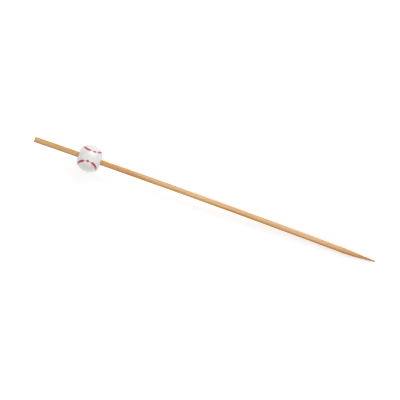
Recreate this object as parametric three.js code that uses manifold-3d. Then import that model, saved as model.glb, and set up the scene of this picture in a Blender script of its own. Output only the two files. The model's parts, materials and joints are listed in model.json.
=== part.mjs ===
// A cocktail pick: a round bamboo stick with a ground point, and a white ball bead fixed near its blunt end.
// The ball carries a sports ball's seam, painted in red strokes that sit in a shallow recess.
// Millimetres, +Z up. The pick lies as it comes to rest, on its ball and on the shoulder of its point:
// the point is towards +X, and the origin is on the table, under the middle of the pick.

import * as THREE from "three";
import { mergeVertices } from "three/addons/utils/BufferGeometryUtils.js";
import Module from "manifold-3d";

// Stick
const STICK_LENGTH = 120; // butt to tip
const STICK_DIAMETER = 1.8;
const STICK_BOW = 0.41; // how far the middle stands out of the straight line between the ends
const BUTT_CHAMFER = 0.12; // on the sawn blunt end
const POINT_LENGTH = 10.8;
const TIP_DIAMETER = 0.42; // the tip is blunt
const TIP_OFFSET = 0.32; // the point is ground a little to one side
const SHOULDER_BLEND = 1.6; // length over which the stick's side turns into the point

// Ball
const BALL_DIAMETER = 9;
const BALL_FROM_BUTT = 19.25; // butt to the middle of the ball
const BALL_EDGE_RADIUS = 0.25; // round the rim of each flat end
const BORE_CLEARANCE = 0.05; // between the stick and the bore, all round
const BORE_CHAMFER = 0.18; // at each mouth of the bore

// Seam, one closed line round the ball
const NECK_WIDTH = 3.66; // between the two runs of the seam where they come closest
const SEAM_LAND = 0.24; // plain ball left between the seam and each flat end
const SEAM_TURN = -11.4; // degrees that the seam is turned round the stick
const STROKE_PAIRS = 8; // one long and one short stroke each
const STROKE_WIDTH = 0.74;
const SHORT_STROKE = 1.0;
const STROKE_GAP = 0.72; // between one stroke and the next
const STROKE_SHIFT = 0.58; // how far the pattern is slid back along the seam
const LINK_WIDTH = 0.18; // the thin painted line that joins the strokes
const PAINT_DEPTH = 0.07; // the part of the paint that lies in the recess
const PAINT_PROUD = 0.03; // the part that stands above the ball
const PAINT_CLEARANCE = 0.02; // between the paint and its recess

// Facets
const STICK_SIDES = 28;
const STICK_STEPS = 24; // along the straight part
const BALL_SIDES = 48;
const BALL_STEPS = 26; // from one flat end to the other
const EDGE_STEPS = 3;
const BLEND_STEPS = 5;
const STROKE_END_STEPS = 4; // round each end of a stroke
const STROKE_STEP = 0.42; // longest step along the seam
const STROKE_COLUMNS = 2; // across the paint

const stickRadius = STICK_DIAMETER / 2;
const ballRadius = BALL_DIAMETER / 2;
const boreRadius = stickRadius + BORE_CLEARANCE;

const bamboo = new THREE.MeshStandardMaterial({ color: 0xdcb07a, roughness: 0.55, metalness: 0 });
const whiteBead = new THREE.MeshStandardMaterial({ color: 0xefefec, roughness: 0.16, metalness: 0 });
const redPaint = new THREE.MeshStandardMaterial({ color: 0xb4303f, roughness: 0.25, metalness: 0 });

const wasm = await Module();
wasm.setup();

// A closed geometry as a solid that can be cut.
function solidFrom(geometry) {
  const bare = new THREE.BufferGeometry();
  bare.setAttribute("position", geometry.getAttribute("position"));
  bare.setIndex(geometry.getIndex());
  const merged = mergeVertices(bare, 1e-4);
  const mesh = new wasm.Mesh({
    numProp: 3,
    vertProperties: merged.getAttribute("position").array,
    triVerts: new Uint32Array(merged.getIndex().array),
  });
  return new wasm.Manifold(mesh);
}

function geometryFrom(solid) {
  const { vertProperties, triVerts } = solid.getMesh();
  const geometry = new THREE.BufferGeometry();
  geometry.setAttribute("position", new THREE.BufferAttribute(vertProperties, 3));
  geometry.setIndex(new THREE.BufferAttribute(triVerts, 1));
  geometry.computeVertexNormals();
  return geometry;
}

// A profile of [radius, distance along] pairs, turned round the X axis with a flat facet facing down.
function turned(profile, sides) {
  const points = profile.map(([radius, along]) => new THREE.Vector2(radius, along));
  const geometry = new THREE.LatheGeometry(points, sides, Math.PI / sides);
  return geometry.rotateZ(-Math.PI / 2);
}

// The stick's outline from butt to tip, measured from the butt.
function stickProfile() {
  const shoulder = STICK_LENGTH - POINT_LENGTH;
  const tipRadius = TIP_DIAMETER / 2;
  const profile = [
    [0, 0],
    [stickRadius - BUTT_CHAMFER, 0],
    [stickRadius, BUTT_CHAMFER],
  ];
  const straightEnd = shoulder - SHOULDER_BLEND / 2;
  for (let i = 1; i <= STICK_STEPS; i++) {
    profile.push([stickRadius, THREE.MathUtils.lerp(BUTT_CHAMFER, straightEnd, i / STICK_STEPS)]);
  }
  // A curve that leaves along the stick's side and arrives along the point's.
  const slope = (stickRadius - tipRadius) / POINT_LENGTH;
  const blend = new THREE.QuadraticBezierCurve(
    new THREE.Vector2(stickRadius, straightEnd),
    new THREE.Vector2(stickRadius, shoulder),
    new THREE.Vector2(stickRadius - (slope * SHOULDER_BLEND) / 2, shoulder + SHOULDER_BLEND / 2),
  );
  for (const { x, y } of blend.getPoints(BLEND_STEPS).slice(1)) {
    profile.push([x, y]);
  }
  const roundStart = STICK_LENGTH - tipRadius / 2;
  profile.push([tipRadius + slope * (STICK_LENGTH - roundStart), roundStart]);
  profile.push([tipRadius * 0.75, STICK_LENGTH - tipRadius * 0.12]);
  profile.push([0, STICK_LENGTH]);
  return profile;
}

// How far the middle line of the stick stands to the side, at a distance from the butt.
function bowAt(along) {
  const share = (2 * along) / STICK_LENGTH - 1;
  return STICK_BOW * (1 - share * share);
}

function bowSlopeAt(along) {
  const share = (2 * along) / STICK_LENGTH - 1;
  return (-4 * STICK_BOW * share) / STICK_LENGTH;
}

// The sideways lean of the point, which starts at the shoulder.
function leanAt(along) {
  const share = Math.max(0, (along - (STICK_LENGTH - POINT_LENGTH)) / POINT_LENGTH);
  return TIP_OFFSET * share * share;
}

// The stick runs along +X from its butt, which is at the origin.
function makeStick(profile) {
  const geometry = turned(profile, STICK_SIDES);
  const position = geometry.getAttribute("position");
  for (let i = 0; i < position.count; i++) {
    const along = position.getX(i);
    position.setY(i, position.getY(i) + bowAt(along) + leanAt(along));
  }
  geometry.computeVertexNormals();
  const stick = new THREE.Mesh(geometry, bamboo);
  stick.name = "bamboo_stick";
  return stick;
}

// The seam of a sports ball: one closed curve on a sphere, with a neck that faces +Z and one that faces -Z.
class SeamCurve extends THREE.Curve {
  constructor(radius, neckWidth) {
    super();
    this.main = (radius + neckWidth / 2) / 2;
    this.ripple = (radius - neckWidth / 2) / 2;
    this.rise = 2 * Math.sqrt(this.main * this.ripple);
    this.arcLengthDivisions = 2000;
  }

  getPoint(t, target = new THREE.Vector3()) {
    const turn = 2 * Math.PI * t;
    return target.set(
      -this.main * Math.sin(turn) - this.ripple * Math.sin(3 * turn),
      this.main * Math.cos(turn) - this.ripple * Math.cos(3 * turn),
      this.rise * Math.cos(2 * turn),
    );
  }

  // The furthest that the seam gets from the middle of the ball, along the stick.
  reach() {
    const { main, ripple } = this;
    const sine = Math.sqrt(0.25 + main / (12 * ripple));
    return (2 / 3) * sine * (main + 3 * ripple);
  }
}

const seam = new SeamCurve(ballRadius, NECK_WIDTH);
const ballHalfLength = seam.reach() + STROKE_WIDTH / 2 + SEAM_LAND;

// The ball's outline round its bore, closed on itself and running from one flat end to the other.
function ballProfile() {
  const edgeAlong = ballHalfLength - BALL_EDGE_RADIUS;
  const edgeOut = Math.sqrt((ballRadius - BALL_EDGE_RADIUS) ** 2 - edgeAlong ** 2);
  const sphereAngle = Math.atan2(edgeAlong, edgeOut);
  const outer = [];
  for (let i = 0; i <= EDGE_STEPS; i++) {
    const angle = THREE.MathUtils.lerp(-Math.PI / 2, -sphereAngle, i / EDGE_STEPS);
    outer.push([
      edgeOut + BALL_EDGE_RADIUS * Math.cos(angle),
      -edgeAlong + BALL_EDGE_RADIUS * Math.sin(angle),
    ]);
  }
  for (let i = 1; i < BALL_STEPS; i++) {
    const angle = THREE.MathUtils.lerp(-sphereAngle, sphereAngle, i / BALL_STEPS);
    outer.push([ballRadius * Math.cos(angle), ballRadius * Math.sin(angle)]);
  }
  for (let i = EDGE_STEPS; i >= 0; i--) {
    outer.push([outer[i][0], -outer[i][1]]);
  }
  const mouth = boreRadius + BORE_CHAMFER;
  const throat = ballHalfLength - BORE_CHAMFER;
  return [
    [boreRadius, -throat],
    [mouth, -ballHalfLength],
    ...outer,
    [mouth, ballHalfLength],
    [boreRadius, throat],
    [boreRadius, -throat],
  ];
}

// Stations along the seam: each has a distance from the start of the seam and the paint's half width there.
function seamStations(length) {
  const pitch = length / STROKE_PAIRS;
  const longStroke = pitch - SHORT_STROKE - 2 * STROKE_GAP;
  const stations = [];
  const addStroke = (middle, strokeLength) => {
    const round = STROKE_WIDTH / 2;
    const narrow = LINK_WIDTH / 2;
    // The round end starts where it is as wide as the link.
    const firstAngle = Math.asin(narrow / round);
    const ends = [];
    for (let i = 0; i <= STROKE_END_STEPS; i++) {
      const angle = THREE.MathUtils.lerp(firstAngle, Math.PI / 2, i / STROKE_END_STEPS);
      ends.push([strokeLength / 2 - round + round * Math.cos(angle), round * Math.sin(angle)]);
    }
    const straight = strokeLength / 2 - round;
    const steps = Math.max(1, Math.ceil((2 * straight) / STROKE_STEP));
    ends.forEach(([back, half]) => stations.push([middle - back, half]));
    for (let i = 1; i < steps; i++) {
      stations.push([middle + THREE.MathUtils.lerp(-straight, straight, i / steps), round]);
    }
    ends.reverse().forEach(([ahead, half]) => stations.push([middle + ahead, half]));
  };
  for (let i = 0; i < STROKE_PAIRS; i++) {
    const middle = i * pitch - STROKE_SHIFT;
    addStroke(middle, SHORT_STROKE);
    addStroke(middle + pitch / 2, longStroke);
  }
  return stations;
}

// A closed band that follows the seam over the ball, from one radius to another, grown to each side.
function seamBand(innerRadius, outerRadius, growth) {
  const length = seam.getLength();
  const stations = seamStations(length);
  const columns = STROKE_COLUMNS;
  const ring = 2 * (columns + 1);
  const vertices = [];
  for (const [distance, halfWidth] of stations) {
    const u = THREE.MathUtils.euclideanModulo(distance / length, 1);
    const outward = seam.getPointAt(u).normalize();
    const sideways = seam.getTangentAt(u).cross(outward).normalize();
    for (let i = 0; i < ring; i++) {
      const onTop = i <= columns;
      const column = onTop ? i : ring - 1 - i;
      const angle = ((halfWidth + growth) * ((2 * column) / columns - 1)) / ballRadius;
      const direction = outward.clone().multiplyScalar(Math.cos(angle));
      direction.addScaledVector(sideways, Math.sin(angle));
      direction.multiplyScalar(onTop ? outerRadius : innerRadius);
      vertices.push(direction.x, direction.y, direction.z);
    }
  }
  const triangles = [];
  for (let s = 0; s < stations.length; s++) {
    const here = s * ring;
    const next = ((s + 1) % stations.length) * ring;
    for (let i = 0; i < ring; i++) {
      const j = (i + 1) % ring;
      triangles.push(here + i, here + j, next + j, here + i, next + j, next + i);
    }
  }
  const geometry = new THREE.BufferGeometry();
  geometry.setAttribute("position", new THREE.Float32BufferAttribute(vertices, 3));
  geometry.setIndex(triangles);
  geometry.computeVertexNormals();
  return geometry;
}

// The ball, with its seam recess. Its bore runs along X, and the front neck of the seam faces +Z.
function makeBead() {
  const recess = seamBand(
    ballRadius - PAINT_DEPTH - PAINT_CLEARANCE,
    ballRadius + STROKE_WIDTH,
    PAINT_CLEARANCE,
  );
  const ball = turned(ballProfile(), BALL_SIDES);
  ball.rotateX(THREE.MathUtils.degToRad(-SEAM_TURN));
  const bead = new THREE.Mesh(geometryFrom(solidFrom(ball).subtract(solidFrom(recess))), whiteBead);
  bead.name = "ball_bead";
  return bead;
}

function makeSeamPaint() {
  const band = seamBand(ballRadius - PAINT_DEPTH, ballRadius + PAINT_PROUD, 0);
  const paint = new THREE.Mesh(band, redPaint);
  paint.name = "seam_paint";
  return paint;
}

// How far the lowest facet of a turned piece is from its axis.
function facetRadius(radius, sides) {
  return radius * Math.cos(Math.PI / sides);
}

// The tilt at which the stick's outline touches the table too, once the ball lies on it.
function restingTilt(profile) {
  const ballDepth = facetRadius(ballRadius, BALL_SIDES);
  const tilts = profile
    .filter(([, along]) => along > BALL_FROM_BUTT + ballRadius)
    .map(([radius, along]) => {
      const depth = facetRadius(radius, STICK_SIDES);
      const ahead = along - BALL_FROM_BUTT;
      return Math.asin(ballDepth / Math.hypot(ahead, depth)) - Math.atan2(depth, ahead);
    });
  return Math.min(...tilts);
}

const profile = stickProfile();
const stick = makeStick(profile);

const ballSeat = new THREE.Group();
ballSeat.position.set(BALL_FROM_BUTT, bowAt(BALL_FROM_BUTT), 0);
ballSeat.rotation.z = Math.atan(bowSlopeAt(BALL_FROM_BUTT));

const seamTurned = new THREE.Group();
seamTurned.rotation.x = THREE.MathUtils.degToRad(SEAM_TURN);
seamTurned.add(makeBead(), makeSeamPaint());
ballSeat.add(seamTurned);

const lying = new THREE.Group();
lying.rotation.y = restingTilt(profile);
lying.add(stick, ballSeat);

const pick = new THREE.Group();
pick.name = "cocktail_pick";
pick.add(lying);
pick.updateMatrixWorld(true);
const extent = new THREE.Box3().setFromObject(pick, true);
const middle = extent.getCenter(new THREE.Vector3());
lying.position.set(-middle.x, -middle.y, -extent.min.z);

export default pick;
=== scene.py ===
# A cocktail pick: a bamboo stick with a ground point and a white gloss ball bead with a red painted seam.
# Metres, +Z up. The pick lies on its ball and on the shoulder of its point, which is towards +X.

import json
import math

import bpy
from mathutils import Matrix, Vector, noise


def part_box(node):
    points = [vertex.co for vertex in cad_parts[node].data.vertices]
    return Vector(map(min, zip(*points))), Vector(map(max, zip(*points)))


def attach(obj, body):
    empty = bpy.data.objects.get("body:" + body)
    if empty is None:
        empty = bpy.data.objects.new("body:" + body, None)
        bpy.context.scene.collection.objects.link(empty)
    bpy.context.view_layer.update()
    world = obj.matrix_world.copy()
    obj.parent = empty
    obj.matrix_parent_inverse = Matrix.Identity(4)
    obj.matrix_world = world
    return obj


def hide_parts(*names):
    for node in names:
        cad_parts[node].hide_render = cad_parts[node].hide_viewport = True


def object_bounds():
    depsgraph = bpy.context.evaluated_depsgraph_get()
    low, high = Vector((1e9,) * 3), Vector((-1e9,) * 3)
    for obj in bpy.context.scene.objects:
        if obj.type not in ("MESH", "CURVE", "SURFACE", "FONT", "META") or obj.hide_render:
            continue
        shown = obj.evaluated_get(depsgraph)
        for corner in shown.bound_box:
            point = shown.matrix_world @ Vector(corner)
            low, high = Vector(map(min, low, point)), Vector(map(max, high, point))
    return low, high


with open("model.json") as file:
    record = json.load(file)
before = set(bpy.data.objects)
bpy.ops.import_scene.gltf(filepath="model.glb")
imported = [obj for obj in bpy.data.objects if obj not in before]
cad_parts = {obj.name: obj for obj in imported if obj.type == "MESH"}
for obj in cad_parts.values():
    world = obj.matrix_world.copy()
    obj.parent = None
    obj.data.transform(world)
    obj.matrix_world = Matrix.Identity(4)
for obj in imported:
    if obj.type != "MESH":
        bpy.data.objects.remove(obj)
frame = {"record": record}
cad_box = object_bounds()

MM = 0.001
WELD = 1e-7  # points nearer than this are one
BEVEL_STEPS = 4
BUMP_DEPTH = 0.02 * MM

# Stick
STICK_LENGTH = 120 * MM
STICK_RADIUS = 0.9 * MM
STICK_BOW = 0.41 * MM  # how far the middle stands out to the side
POINT_LENGTH = 10.8 * MM
TIP_RADIUS = 0.21 * MM
POINT_SWELL = 0.1 * MM  # how much fuller than a straight cone the point is in its thicker half
TIP_OFFSET = 0.32 * MM  # the point is ground a little to one side
SHOULDER_BLEND = 1.6 * MM
BUTT_ROUND = 0.14 * MM
STICK_SIDES = 72
STICK_STEP = 0.8 * MM  # between rings along the straight part
POINT_STEP = 0.2 * MM
FIBRE_RELIEF = 0.012 * MM  # depth of the lengthwise ridges
FIBRE_WIDTH = 0.22 * MM
FIBRE_LENGTH = 22 * MM

# The painted highlight strip along the stick: a pale band painted into the colour for the lamp's sheen
HIGHLIGHT_STRIP_WANDER = 0.15 * MM  # how far it strays to either side
BUTT_HIGHLIGHT_SHIFT = 0.45 * MM  # how far it lies to one side near the butt
BUTT_HIGHLIGHT_SHIFT_FADES = (28 * MM, 36 * MM)  # from the butt
POINT_HIGHLIGHT_SHIFT = 0.3 * MM  # how far it lies to that side on the point
POINT_HIGHLIGHT_SHIFT_GROWS = (108 * MM, 112 * MM)  # from the butt

# Ball
BALL_RADIUS = 4.5 * MM
BALL_SEGMENTS = 144
BALL_RINGS = 70  # keeps a ring clear of the cut, where the rim is softened
RIM_BEVEL = 0.1 * MM
BORE_RADIUS = 0.95 * MM
BORE_CUTS = 6
MOUTH_BEVEL = 0.16 * MM
CUT_SLACK = 0.001 * MM  # how far an edge may lie off a cut and still belong to it
LOOP_SLACK = 0.02 * MM  # the same for the radius of a loop on the cut

# Seam
NECK_WIDTH = 3.66 * MM
SEAM_TURN = math.radians(-11.4)
STROKE_PAIRS = 8
SEAM_LAND = 0.24 * MM  # plain ball left between the seam and each flat end
STROKE_WIDTH = 0.74 * MM
SHORT_STROKE = 1.0 * MM
STROKE_GAP = 0.72 * MM
STROKE_SHIFT = 0.58 * MM  # how far the strokes are slid back along the seam
STROKE_DRIFT = 0.25 * MM  # how far the strokes beside the front neck stray towards the point
LINK_WIDTH = 0.18 * MM
PAINT_PROUD = 0.03 * MM
PAINT_THICKNESS = 0.09 * MM
EDGE_HEIGHT = 0.35  # of the paint at a stroke's edge, as a share of its height in the middle
END_RISE = 1.5  # how quickly the paint rises from a stroke's end
END_WIDTH = 0.08  # of a stroke's very end, as a share of its full width
LONG_STROKE_CUTS = 40
SHORT_STROKE_CUTS = 24
STROKE_CUTS_ACROSS = 10
LINE_CUTS = 320
SEAM_SAMPLES = 4000

# Camera and photograph
PHOTO_PIXELS = 400
PIXEL_SIZE = 0.3311 * MM
PICK_SLOPE = math.radians(19.9)  # how far the pick runs down to the right in the photograph
PICK_MIDDLE = (205.2, 200.33)  # the pick's middle in the photograph, in pixels
CAMERA_DISTANCE = 1.0
SENSOR = 36.0


# Places in the frame

def mount(name):
    return next(entry for entry in frame["record"]["mounts"] if entry["name"] == name)


def lying_matrix():
    """From the stick's own frame, with its butt at the origin and +X along it, to the row's frame."""
    butt = mount("butt_end")
    tilt = math.asin(butt["axis"][2])
    return Matrix.Translation(butt["pos_m"]) @ Matrix.Rotation(tilt, 4, "Y")


def ball_matrix():
    """From the ball's own frame, with its bore along X and a neck of the seam at +Z, to the row's frame."""
    low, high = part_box("ball_bead")
    tilt = math.asin(mount("butt_end")["axis"][2])
    slope = math.asin(mount("food_stop")["axis"][1])
    return (
        Matrix.Translation((low + high) / 2)
        @ Matrix.Rotation(tilt, 4, "Y")
        @ Matrix.Rotation(slope, 4, "Z")
        @ Matrix.Rotation(SEAM_TURN, 4, "X")
    )


LYING = lying_matrix()
BALL = ball_matrix()


# Helpers for modelling

def deselect_all():
    bpy.ops.object.select_all(action="DESELECT")


def finish_piece(piece, name, place, material):
    """Puts a piece modelled in its own frame where it belongs, names it and gives it its finish."""
    piece.data.transform(place)
    piece.name = name
    piece.data.name = name
    piece.data.materials.clear()
    piece.data.materials.append(material)
    return piece


def outward(piece):
    bpy.context.view_layer.objects.active = piece
    bpy.ops.object.mode_set(mode="EDIT")
    bpy.ops.mesh.select_all(action="SELECT")
    bpy.ops.mesh.remove_doubles(threshold=WELD)
    bpy.ops.mesh.normals_make_consistent(inside=False)
    bpy.ops.object.mode_set(mode="OBJECT")


def select_in_mesh(piece, kind, test):
    """Selects the faces or edges that pass a test. Leaves edit mode on in that element's mode."""
    bpy.ops.object.mode_set(mode="EDIT")
    bpy.ops.mesh.select_mode(type=kind)
    bpy.ops.mesh.select_all(action="DESELECT")
    bpy.ops.object.mode_set(mode="OBJECT")
    elements = piece.data.polygons if kind == "FACE" else piece.data.edges
    for element in elements:
        element.select = test(element)
    bpy.ops.object.mode_set(mode="EDIT")


# Stick

def straight_radius(along):
    """The stick's radius at a distance from its butt."""
    shoulder = STICK_LENGTH - POINT_LENGTH
    slope = (STICK_RADIUS - TIP_RADIUS) / POINT_LENGTH
    half = SHOULDER_BLEND / 2
    if along < BUTT_ROUND:
        return STICK_RADIUS - BUTT_ROUND + math.sqrt(BUTT_ROUND**2 - (BUTT_ROUND - along) ** 2)
    if along < shoulder - half:
        return STICK_RADIUS
    if along < shoulder + half:
        share = (along - shoulder + half) / SHOULDER_BLEND
        return STICK_RADIUS - slope * half * share**2
    left = STICK_LENGTH - along
    share = (along - shoulder - half) / (POINT_LENGTH - half)
    cone = TIP_RADIUS + slope * left + POINT_SWELL * math.sin(math.pi * share) * (1 - share)
    return cone if left > TIP_RADIUS / 2 else cone * math.sqrt(left / (TIP_RADIUS / 2))


def stick_stations():
    shoulder = STICK_LENGTH - POINT_LENGTH - SHOULDER_BLEND
    stations = [BUTT_ROUND * (1 - math.cos(math.pi / 2 * i / 5)) for i in range(5)]
    count = round((shoulder - BUTT_ROUND) / STICK_STEP)
    stations += [BUTT_ROUND + (shoulder - BUTT_ROUND) * i / count for i in range(count)]
    end = STICK_LENGTH - TIP_RADIUS / 2
    count = round((end - shoulder) / POINT_STEP)
    stations += [shoulder + (end - shoulder) * i / count for i in range(count)]
    stations += [end + TIP_RADIUS / 2 * math.sin(math.pi / 2 * i / 5) for i in range(5)]
    return stations


def make_stick(material):
    """Extruded ring by ring from the butt, then bowed and given the ridges of its fibres."""
    stations = stick_stations()
    deselect_all()
    bpy.ops.mesh.primitive_circle_add(
        vertices=STICK_SIDES, radius=straight_radius(0), fill_type="NGON", rotation=(0, math.pi / 2, 0)
    )
    stick = bpy.context.object
    bpy.ops.object.transform_apply(location=True, rotation=True, scale=True)
    bpy.ops.object.mode_set(mode="EDIT")
    bpy.ops.mesh.select_all(action="SELECT")
    for here, ahead in zip(stations, stations[1:]):
        bpy.ops.mesh.extrude_region_move(TRANSFORM_OT_translate={"value": (ahead - here, 0, 0)})
        grow = straight_radius(ahead) / straight_radius(here)
        bpy.ops.transform.resize(value=(1, grow, grow))
    bpy.ops.object.mode_set(mode="OBJECT")
    outward(stick)
    straight = stick.data.attributes.new("straight_place", "FLOAT_VECTOR", "POINT")
    for vertex, place in zip(stick.data.vertices, straight.data):
        place.vector = vertex.co
        vertex.co = bowed(ridged(vertex.co.copy()))
    bpy.ops.object.shade_smooth_by_angle(angle=math.radians(40))
    return finish_piece(stick, "bamboo_stick_turned", LYING, material)


def ridged(place):
    """Moves a point of the stick's side in or out, for the ridges of its fibres."""
    spot = Vector((place.x / FIBRE_LENGTH, place.y / FIBRE_WIDTH, place.z / FIBRE_WIDTH))
    ridge = noise.noise(spot) + 0.5 * noise.noise(spot * 2.1)
    across = Vector((0, place.y, place.z))
    if across.length > TIP_RADIUS / 2:
        across *= 1 - FIBRE_RELIEF / across.length * max(0, ridge + 0.2)
    return Vector((place.x, across.y, across.z))


def bowed(place):
    share = 2 * place.x / STICK_LENGTH - 1
    point_share = max(0, (place.x - STICK_LENGTH + POINT_LENGTH) / POINT_LENGTH)
    place.y += STICK_BOW * (1 - share**2) + TIP_OFFSET * point_share**2
    return place


# Ball

def make_ball(half_length, material):
    """A sphere cut flat at both ends, with a through bore and softened rims."""
    deselect_all()
    bpy.ops.mesh.primitive_uv_sphere_add(
        segments=BALL_SEGMENTS, ring_count=BALL_RINGS, radius=BALL_RADIUS, rotation=(0, math.pi / 2, 0)
    )
    ball = bpy.context.object
    bpy.ops.object.transform_apply(location=True, rotation=True, scale=True)
    for side in (1, -1):
        bpy.ops.object.mode_set(mode="EDIT")
        bpy.ops.mesh.select_all(action="SELECT")
        bpy.ops.mesh.bisect(
            plane_co=(side * half_length, 0, 0), plane_no=(side, 0, 0), clear_outer=True, use_fill=True,
            threshold=WELD,
        )
        bpy.ops.object.mode_set(mode="OBJECT")
    flat_radius = math.sqrt(BALL_RADIUS**2 - half_length**2)
    select_in_mesh(ball, "FACE", lambda face: abs(face.normal.x) > 0.999 and len(face.vertices) > 4)
    bpy.ops.mesh.inset(thickness=flat_radius - BORE_RADIUS)
    bpy.ops.mesh.delete(type="ONLY_FACE")
    bpy.ops.object.mode_set(mode="OBJECT")

    def edge_radius(edge):
        """The radius of the loop on a cut that an edge belongs to, if it belongs to one."""
        ends = [ball.data.vertices[index].co for index in edge.vertices]
        if any(abs(abs(end.x) - half_length) > CUT_SLACK for end in ends):
            return None
        radii = [math.hypot(end.y, end.z) for end in ends]
        return radii[0] if abs(radii[0] - radii[1]) < CUT_SLACK else None

    def on_circle(radius):
        def test(edge):
            found = edge_radius(edge)
            return found is not None and abs(found - radius) < LOOP_SLACK
        return test

    select_in_mesh(ball, "EDGE", on_circle(BORE_RADIUS))
    bpy.ops.mesh.bridge_edge_loops(number_cuts=BORE_CUTS)
    bpy.ops.object.mode_set(mode="OBJECT")
    select_in_mesh(ball, "EDGE", on_circle(BORE_RADIUS))
    bpy.ops.mesh.bevel(offset=MOUTH_BEVEL, segments=BEVEL_STEPS, affect="EDGES")
    bpy.ops.object.mode_set(mode="OBJECT")
    select_in_mesh(ball, "EDGE", on_circle(flat_radius))
    bpy.ops.mesh.bevel(offset=RIM_BEVEL, segments=BEVEL_STEPS, affect="EDGES", clamp_overlap=True)
    bpy.ops.object.mode_set(mode="OBJECT")
    outward(ball)
    bpy.ops.object.shade_smooth_by_angle(angle=math.radians(40))
    return finish_piece(ball, "ball_bead_moulded", BALL, material)


# Seam

class Seam:
    """One closed line round the ball, by distance along it."""

    def __init__(self):
        self.main = (BALL_RADIUS + NECK_WIDTH / 2) / 2
        self.ripple = (BALL_RADIUS - NECK_WIDTH / 2) / 2
        self.rise = 2 * math.sqrt(self.main * self.ripple)
        self.points = [self.at_turn(2 * math.pi * i / SEAM_SAMPLES) for i in range(SEAM_SAMPLES + 1)]
        self.step_ends = [0.0]
        for here, ahead in zip(self.points, self.points[1:]):
            self.step_ends.append(self.step_ends[-1] + (ahead - here).length)
        self.length = self.step_ends[-1]

    def reach(self):
        """The furthest that the line gets from the middle of the ball, along the stick."""
        slant = math.sqrt(0.25 + self.main / (12 * self.ripple))
        return 2 / 3 * slant * (self.main + 3 * self.ripple)

    def at_turn(self, turn):
        return Vector((
            -self.main * math.sin(turn) - self.ripple * math.sin(3 * turn),
            self.main * math.cos(turn) - self.ripple * math.cos(3 * turn),
            self.rise * math.cos(2 * turn),
        ))

    def turn_at(self, distance):
        distance %= self.length
        low, high = 0, SEAM_SAMPLES
        while high - low > 1:
            middle = (low + high) // 2
            if self.step_ends[middle] <= distance:
                low = middle
            else:
                high = middle
        share = (distance - self.step_ends[low]) / (self.step_ends[high] - self.step_ends[low])
        return 2 * math.pi * (low + share) / SEAM_SAMPLES

    def place(self, distance, aside, height):
        """A point at a distance along the seam, to one side of it, at a height over the ball."""
        turn = self.turn_at(distance)
        out = self.at_turn(turn).normalized()
        nudge = 1e-4
        tangent = (self.at_turn(turn + nudge) - self.at_turn(turn - nudge)).normalized()
        sideways = tangent.cross(out).normalized()
        angle = aside / BALL_RADIUS
        return (out * math.cos(angle) + sideways * math.sin(angle)) * (BALL_RADIUS + height)


SEAM = Seam()


def slid(distance):
    """Where a point of an evenly set stroke really lies along the seam."""
    return distance - STROKE_SHIFT - STROKE_DRIFT * math.cos(2 * math.pi * distance / SEAM.length)


def strokes():
    """Where each painted stroke starts, and its length, along the seam."""
    pitch = SEAM.length / STROKE_PAIRS
    long_stroke = pitch - SHORT_STROKE - 2 * STROKE_GAP
    found = []
    for pair in range(STROKE_PAIRS):
        for middle, length in ((pair * pitch, SHORT_STROKE), ((pair + 0.5) * pitch, long_stroke)):
            start = slid(middle - length / 2)
            found.append((start, slid(middle + length / 2) - start))
    return found


def wrap_strip(strip, start, length, half_width):
    """Lays a flat unit grid over the ball along the seam, with round ends and a crowned top."""
    for vertex in strip.data.vertices:
        along = vertex.co.x + 0.5
        aside = 2 * vertex.co.y
        distance = length * along
        end = min(distance, length - distance) / half_width
        round_share = math.sqrt(max(0.0, 1 - (1 - min(end, 1)) ** 2))
        crown = (1 - abs(aside) ** 4) * min(1, round_share * END_RISE)
        height = PAINT_PROUD * (EDGE_HEIGHT + (1 - EDGE_HEIGHT) * crown)
        vertex.co = SEAM.place(start + distance, aside * half_width * max(END_WIDTH, round_share), height)


def make_strokes(material):
    pieces = []
    for start, length in strokes():
        deselect_all()
        cuts = LONG_STROKE_CUTS if length > 1.5 * SHORT_STROKE else SHORT_STROKE_CUTS
        bpy.ops.mesh.primitive_grid_add(x_subdivisions=cuts, y_subdivisions=STROKE_CUTS_ACROSS, size=1)
        strip = bpy.context.object
        wrap_strip(strip, start, length, STROKE_WIDTH / 2)
        pieces.append(strip)
    return thicken(join(pieces), "seam_strokes", material)


def make_seam_line(material):
    """The thin line that joins the strokes, all the way round."""
    deselect_all()
    bpy.ops.mesh.primitive_grid_add(x_subdivisions=LINE_CUTS, y_subdivisions=2, size=1)
    line = bpy.context.object
    for vertex in line.data.vertices:
        distance = SEAM.length * (vertex.co.x + 0.5)
        vertex.co = SEAM.place(distance, vertex.co.y * LINK_WIDTH, PAINT_PROUD / 3)
    return thicken(line, "seam_line", material)


def join(pieces):
    deselect_all()
    for piece in pieces:
        piece.select_set(True)
    bpy.context.view_layer.objects.active = pieces[0]
    bpy.ops.object.join()
    return pieces[0]


def thicken(sheet, name, material):
    """Gives a wrapped sheet its depth, down into the ball."""
    deselect_all()
    sheet.select_set(True)
    bpy.context.view_layer.objects.active = sheet
    bpy.ops.object.mode_set(mode="EDIT")
    bpy.ops.mesh.select_all(action="SELECT")
    bpy.ops.mesh.remove_doubles(threshold=WELD)
    bpy.ops.object.mode_set(mode="OBJECT")
    if sheet.data.polygons[0].normal.dot(sheet.data.polygons[0].center) < 0:
        bpy.ops.object.mode_set(mode="EDIT")
        bpy.ops.mesh.flip_normals()
        bpy.ops.object.mode_set(mode="OBJECT")
    solidify = sheet.modifiers.new("paint thickness", "SOLIDIFY")
    solidify.thickness = PAINT_THICKNESS
    solidify.offset = -1
    bpy.ops.object.modifier_apply(modifier=solidify.name)
    bpy.ops.object.shade_smooth_by_angle(angle=math.radians(50))
    return finish_piece(sheet, name, BALL, material)


# Materials

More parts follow.
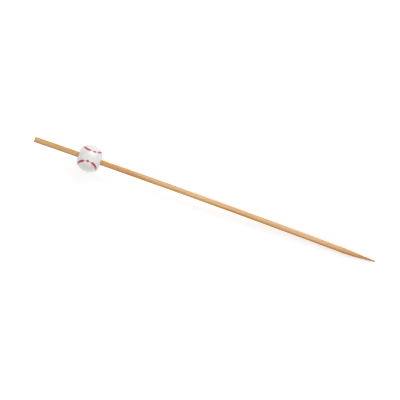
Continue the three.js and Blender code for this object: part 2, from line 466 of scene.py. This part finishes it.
class Nodes:
    """Adds and joins the nodes of one material or group."""

    def __init__(self, tree):
        self.tree = tree

    def add(self, kind, values=None, **settings):
        node = self.tree.nodes.new(kind)
        for key, value in settings.items():
            setattr(node, key, value)
        for socket, value in (values or {}).items():
            if isinstance(value, bpy.types.NodeSocket):
                self.tree.links.new(value, node.inputs[socket])
            else:
                node.inputs[socket].default_value = value
        return node

    def ramp(self, factor, stops):
        node = self.add("ShaderNodeValToRGB", {"Fac": factor})
        band = node.color_ramp
        while len(band.elements) < len(stops):
            band.elements.new(1.0)
        for element, (position, color) in zip(band.elements, stops):
            element.position = position
            element.color = (*color, 1)
        return node.outputs["Color"]

    def mix(self, factor, first, second, blend="MIX"):
        node = self.add("ShaderNodeMix", data_type="RGBA", blend_type=blend)
        for index, value in ((0, factor), (6, first), (7, second)):
            if isinstance(value, bpy.types.NodeSocket):
                self.tree.links.new(value, node.inputs[index])
            elif index == 0:
                node.inputs[index].default_value = value
            else:
                node.inputs[index].default_value = (*value, 1)
        return node.outputs[2]

    def math(self, operation, first, second):
        node = self.add("ShaderNodeMath", operation=operation)
        for index, value in enumerate((first, second)):
            if isinstance(value, bpy.types.NodeSocket):
                self.tree.links.new(value, node.inputs[index])
            else:
                node.inputs[index].default_value = value
        return node.outputs[0]

    def span(self, value, low, high, to_low=0.0, to_high=1.0):
        """Maps low to high onto to_low to to_high, and holds still past either end."""
        node = self.add(
            "ShaderNodeMapRange",
            {"Value": value, "From Min": low, "From Max": high, "To Min": to_low, "To Max": to_high},
        )
        return node.outputs[0]


def rgb(red, green, blue):
    """A colour given as screen values from 0 to 255, as the shader's linear values."""
    def linear(value):
        share = value / 255
        return share / 12.92 if share <= 0.04045 else ((share + 0.055) / 1.055) ** 2.4
    return tuple(linear(value) for value in (red, green, blue))


def new_material(name):
    material = bpy.data.materials.new(name)
    material.use_nodes = True
    material.node_tree.nodes.clear()
    nodes = Nodes(material.node_tree)
    output = nodes.add("ShaderNodeOutputMaterial")
    shader = nodes.add("ShaderNodeBsdfPrincipled")
    material.node_tree.links.new(shader.outputs[0], output.inputs["Surface"])
    return material, nodes, shader


def link(material, value, socket):
    material.node_tree.links.new(value, socket)


def bamboo_grain_group():
    """Long fibres and the darker strands among them, both along X of the place it is given."""
    group = bpy.data.node_groups.new("bamboo grain", "ShaderNodeTree")
    group.interface.new_socket("Place", in_out="INPUT", socket_type="NodeSocketVector")
    group.interface.new_socket("Fibre Scale", in_out="INPUT", socket_type="NodeSocketFloat")
    for name in ("Streaks", "Strands", "Tone", "Height"):
        group.interface.new_socket(name, in_out="OUTPUT", socket_type="NodeSocketFloat")
    nodes = Nodes(group)
    inputs = nodes.add("NodeGroupInput")
    outputs = nodes.add("NodeGroupOutput")

    def stretched(scale):
        node = nodes.add(
            "ShaderNodeMapping", {"Vector": inputs.outputs["Place"], "Scale": scale}, vector_type="POINT"
        )
        return node.outputs[0]

    streaks = nodes.add(
        "ShaderNodeTexNoise",
        {"Vector": stretched((60, 3800, 3800)), "Scale": inputs.outputs["Fibre Scale"], "Detail": 3.0},
    ).outputs[0]
    strands = nodes.add(
        "ShaderNodeTexVoronoi",
        {"Vector": stretched((110, 3000, 3000)), "Scale": inputs.outputs["Fibre Scale"]},
    ).outputs["Distance"]
    tone = nodes.add(
        "ShaderNodeTexNoise", {"Vector": stretched((35, 700, 700)), "Scale": 1.0, "Detail": 2.0}
    ).outputs[0]
    strand_mask = nodes.span(strands, 0.32, 0.12)
    height = nodes.math("SUBTRACT", streaks, nodes.math("MULTIPLY", strand_mask, 0.5))
    for name, value in (
        ("Streaks", nodes.span(streaks, 0.3, 0.7)),
        ("Strands", strand_mask),
        ("Tone", nodes.span(tone, 0.3, 0.7)),
        ("Height", height),
    ):
        group.links.new(value, outputs.inputs[name])
    return group


FIBRE_CONTRAST = 0.4
STRAND_CONTRAST = 0.35


def bamboo_material(grain):
    """Bare bamboo, with a pale painted highlight strip along it for the lamp's sheen, and its +Y side
    painted a little lighter than its -Y side.
    """
    material, nodes, shader = new_material("bamboo")
    place = nodes.add("ShaderNodeAttribute", attribute_name="straight_place").outputs["Vector"]
    fibres = nodes.add("ShaderNodeGroup", {"Place": place, "Fibre Scale": 1.0}, node_tree=grain)
    parts = nodes.add("ShaderNodeSeparateXYZ", {"Vector": place})
    along, side = parts.outputs["X"], parts.outputs["Y"]
    # The painted highlight strays at random, and lies off to one side near the butt and on the point.
    for shift in (
        nodes.span(fibres.outputs["Tone"], 0, 1, -HIGHLIGHT_STRIP_WANDER, HIGHLIGHT_STRIP_WANDER),
        nodes.span(along, *BUTT_HIGHLIGHT_SHIFT_FADES, BUTT_HIGHLIGHT_SHIFT, 0),
        nodes.span(along, *POINT_HIGHLIGHT_SHIFT_GROWS, 0, POINT_HIGHLIGHT_SHIFT),
    ):
        side = nodes.math("ADD", side, shift)
    # Across the stick: the bamboo's own orange at both sides, a pale painted highlight along the middle for
    # the lamp's sheen, and the +Y side, towards the key light, painted a little lighter than the -Y side.
    painted_highlight_band = nodes.ramp(
        nodes.span(side, -STICK_RADIUS, STICK_RADIUS),
        [
            (0.0, rgb(220, 152, 44)),
            (0.24, rgb(218, 146, 38)),
            (0.32, rgb(219, 155, 56)),
            (0.41, rgb(212, 167, 117)),
            (0.5, rgb(217, 180, 150)),
            (0.59, rgb(219, 191, 169)),
            (0.68, rgb(218, 188, 162)),
            (0.76, rgb(221, 181, 129)),
            (0.85, rgb(227, 179, 107)),
            (1.0, rgb(228, 176, 98)),
        ],
    )
    streaks = fibres.outputs["Streaks"]
    color = nodes.mix(nodes.span(streaks, 0.5, 0, 0, FIBRE_CONTRAST), painted_highlight_band, rgb(200, 150, 98))
    color = nodes.mix(nodes.span(streaks, 0.5, 1, 0, FIBRE_CONTRAST), color, rgb(244, 214, 172))
    strands = nodes.math("MULTIPLY", fibres.outputs["Strands"], STRAND_CONTRAST)
    color = nodes.mix(strands, color, rgb(176, 124, 74))
    # The wood is warmer near the ball and the butt, and most of all on the ground point.
    warmth = nodes.ramp(
        nodes.span(along, 0, STICK_LENGTH),
        [
            (0.0, rgb(234, 222, 190)),
            (0.01, rgb(241, 232, 208)),
            (0.19, rgb(243, 225, 192)),
            (0.27, rgb(243, 227, 196)),
            (0.36, rgb(255, 255, 255)),
            (0.89, rgb(255, 252, 248)),
            (0.93, rgb(236, 216, 186)),
            (0.97, rgb(232, 206, 160)),
            (0.978, rgb(240, 200, 108)),
            (0.985, rgb(255, 184, 40)),
        ],
    )
    link(material, nodes.mix(1.0, color, warmth, "MULTIPLY"), shader.inputs["Base Color"])
    link(material, nodes.span(streaks, 0, 1, 0.62, 0.46), shader.inputs["Roughness"])
    shader.inputs["Specular IOR Level"].default_value = 0.4
    bump = nodes.add(
        "ShaderNodeBump", {"Height": fibres.outputs["Height"], "Strength": 0.35, "Distance": BUMP_DEPTH}
    )
    link(material, bump.outputs[0], shader.inputs["Normal"])
    return material


def gloss_ripple_group():
    """The faint unevenness of a glossy coat, and the fine dust and rub marks on it."""
    group = bpy.data.node_groups.new("gloss ripple", "ShaderNodeTree")
    group.interface.new_socket("Place", in_out="INPUT", socket_type="NodeSocketVector")
    for name in ("Ripple", "Rubbed"):
        group.interface.new_socket(name, in_out="OUTPUT", socket_type="NodeSocketFloat")
    nodes = Nodes(group)
    inputs = nodes.add("NodeGroupInput")
    outputs = nodes.add("NodeGroupOutput")
    place = inputs.outputs["Place"]
    ripple = nodes.add("ShaderNodeTexNoise", {"Vector": place, "Scale": 900.0, "Detail": 1.0}).outputs[0]
    rubbed = nodes.add("ShaderNodeTexNoise", {"Vector": place, "Scale": 350.0, "Detail": 4.0}).outputs[0]
    group.links.new(ripple, outputs.inputs["Ripple"])
    group.links.new(nodes.span(rubbed, 0.4, 0.75), outputs.inputs["Rubbed"])
    return group


def bead_material(gloss):
    """Polished white plastic with faint rub marks."""
    material, nodes, shader = new_material("white bead")
    place = nodes.add("ShaderNodeTexCoord").outputs["Object"]
    ripple = nodes.add("ShaderNodeGroup", {"Place": place}, node_tree=gloss)
    color = nodes.mix(ripple.outputs["Rubbed"], rgb(242, 240, 237), rgb(233, 231, 227))
    link(material, color, shader.inputs["Base Color"])
    link(material, nodes.span(ripple.outputs["Rubbed"], 0, 1, 0.06, 0.14), shader.inputs["Roughness"])
    shader.inputs["Coat Weight"].default_value = 0.3
    shader.inputs["Coat Roughness"].default_value = 0.03
    bump = nodes.add(
        "ShaderNodeBump", {"Height": ripple.outputs["Ripple"], "Strength": 0.25, "Distance": BUMP_DEPTH}
    )
    link(material, bump.outputs[0], shader.inputs["Normal"])
    return material


def paint_material(name, full, thin, gloss):
    """Brushed gloss paint, which covers less well in spots."""
    material, nodes, shader = new_material(name)
    place = nodes.add("ShaderNodeTexCoord").outputs["Object"]
    ripple = nodes.add("ShaderNodeGroup", {"Place": place}, node_tree=gloss)
    cover = nodes.add("ShaderNodeTexNoise", {"Vector": place, "Scale": 1400.0, "Detail": 3.0}).outputs[0]
    color = nodes.mix(nodes.span(cover, 0.42, 0.7), full, thin)
    link(material, color, shader.inputs["Base Color"])
    link(material, nodes.span(ripple.outputs["Rubbed"], 0, 1, 0.2, 0.35), shader.inputs["Roughness"])
    shader.inputs["Coat Weight"].default_value = 0.9
    shader.inputs["Coat Roughness"].default_value = 0.15
    bump = nodes.add(
        "ShaderNodeBump", {"Height": ripple.outputs["Ripple"], "Strength": 0.3, "Distance": BUMP_DEPTH}
    )
    link(material, bump.outputs[0], shader.inputs["Normal"])
    return material


# Stage

FLOOR_SIZE = 8.0
FLOOR_WHITE = 0.7
FLOOR_GLOW = 0.48  # added for the camera and for reflections, so that the floor shows white


def make_floor():
    deselect_all()
    bpy.ops.mesh.primitive_plane_add(size=FLOOR_SIZE)
    floor = bpy.context.object
    floor.name = "floor"
    material, nodes, shader = new_material("pale floor")
    shader.inputs["Base Color"].default_value = (FLOOR_WHITE, FLOOR_WHITE, FLOOR_WHITE, 1)
    shader.inputs["Roughness"].default_value = 0.9
    shader.inputs["Specular IOR Level"].default_value = 0.0
    rays = nodes.add("ShaderNodeLightPath")
    seen = nodes.math("MAXIMUM", rays.outputs["Is Camera Ray"], rays.outputs["Is Glossy Ray"])
    seen = nodes.math("MAXIMUM", seen, rays.outputs["Is Transmission Ray"])
    shader.inputs["Emission Color"].default_value = (1, 1, 1, 1)
    link(material, nodes.math("MULTIPLY", seen, FLOOR_GLOW), shader.inputs["Emission Strength"])
    floor.data.materials.append(material)


CEILING_LIGHT = 0.36
WALL_LIGHT = 0.24
CEILING_HEIGHT = 0.5  # from 0 at the floor to 1 straight up
LIT_SIDE = 0.5  # how much further down the ceiling's light reaches on the room's lit side


def make_world():
    """A pale room, which the camera sees as white."""
    world = bpy.data.worlds.new("room")
    bpy.context.scene.world = world
    world.use_nodes = True
    world.node_tree.nodes.clear()
    nodes = Nodes(world.node_tree)
    output = nodes.add("ShaderNodeOutputWorld")
    rays = nodes.add("ShaderNodeLightPath")
    direction = nodes.add("ShaderNodeTexCoord").outputs["Generated"]
    height = nodes.add("ShaderNodeSeparateXYZ", {"Vector": direction}).outputs["Z"]
    lit = nodes.add(
        "ShaderNodeVectorMath",
        {0: direction, 1: photo_direction(0.5, 0.85, 0) * LIT_SIDE},
        operation="DOT_PRODUCT",
    ).outputs["Value"]
    room = nodes.span(nodes.math("ADD", height, lit), 0, CEILING_HEIGHT, WALL_LIGHT, CEILING_LIGHT)
    strength = nodes.span(rays.outputs["Is Camera Ray"], 0, 1, room, 1.0)
    background = nodes.add("ShaderNodeBackground", {"Color": (1, 1, 1, 1), "Strength": strength})
    world.node_tree.links.new(background.outputs[0], output.inputs["Surface"])


def photo_direction(right, up, towards):
    """A direction in the photograph (right, up, towards the viewer), in the row's frame."""
    return Matrix.Rotation(PICK_SLOPE, 3, "Z") @ Vector((right, up, towards)).normalized()


def add_softbox(name, direction, distance, size, power):
    light = bpy.data.lights.new(name, "AREA")
    light.shape = "RECTANGLE"
    light.size, light.size_y = size
    light.energy = power
    lamp = bpy.data.objects.new(name, light)
    bpy.context.scene.collection.objects.link(lamp)
    aim = (-direction).to_track_quat("-Z", "Y").to_matrix().to_4x4()
    lamp.matrix_world = Matrix.Translation(direction * distance) @ aim
    lamp.visible_camera = False


def make_lights():
    add_softbox("key softbox", photo_direction(0.37, 0.72, 0.59), 0.6, (0.75, 0.4), 1.65)
    add_softbox("strip lamp", photo_direction(0.30, 0.74, 0.60), 0.6, (0.45, 0.06), 0.5)
    add_softbox("low fill", photo_direction(-0.2, -0.55, 0.81), 0.7, (1.2, 1.0), 3.0)
    add_softbox("small lamp", photo_direction(-0.4, 0.53, 0.75), 0.7, (0.07, 0.07), 0.2)


def make_camera():
    """Looks straight down, with the pick where it lies in the photograph."""
    camera = bpy.data.cameras.new("camera")
    camera.sensor_width = SENSOR
    low, high = cad_box
    middle = (low + high) / 2
    camera.lens = SENSOR * CAMERA_DISTANCE / (PHOTO_PIXELS * PIXEL_SIZE)
    shown = bpy.data.objects.new("camera", camera)
    bpy.context.scene.collection.objects.link(shown)
    aside, down = ((place - PHOTO_PIXELS / 2) * PIXEL_SIZE for place in PICK_MIDDLE)
    aim = middle - photo_direction(1, 0, 0) * aside + photo_direction(0, 1, 0) * down
    shown.matrix_world = (
        Matrix.Translation(aim + Vector((0, 0, CAMERA_DISTANCE))) @ Matrix.Rotation(PICK_SLOPE, 4, "Z")
    )
    bpy.context.scene.camera = shown


# The pick

def build():
    grain = bamboo_grain_group()
    gloss = gloss_ripple_group()
    stick = make_stick(bamboo_material(grain))
    ball = make_ball(SEAM.reach() + STROKE_WIDTH / 2 + SEAM_LAND, bead_material(gloss))
    red = paint_material("red paint", rgb(178, 44, 64), rgb(204, 90, 112), gloss)
    pink = paint_material("thin red line", rgb(206, 120, 130), rgb(226, 178, 182), gloss)
    painted = make_strokes(red)
    line = make_seam_line(pink)
    for piece, node, slot in (
        (stick, "bamboo_stick", "bamboo"),
        (ball, "ball_bead", "white_bead"),
        (painted, "seam_paint", "red_paint"),
    ):
        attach(piece, "root")
        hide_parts(node)
    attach(line, "root")


make_camera()
make_floor()
make_world()
make_lights()
build()

bpy.context.scene.view_settings.view_transform = "Standard"
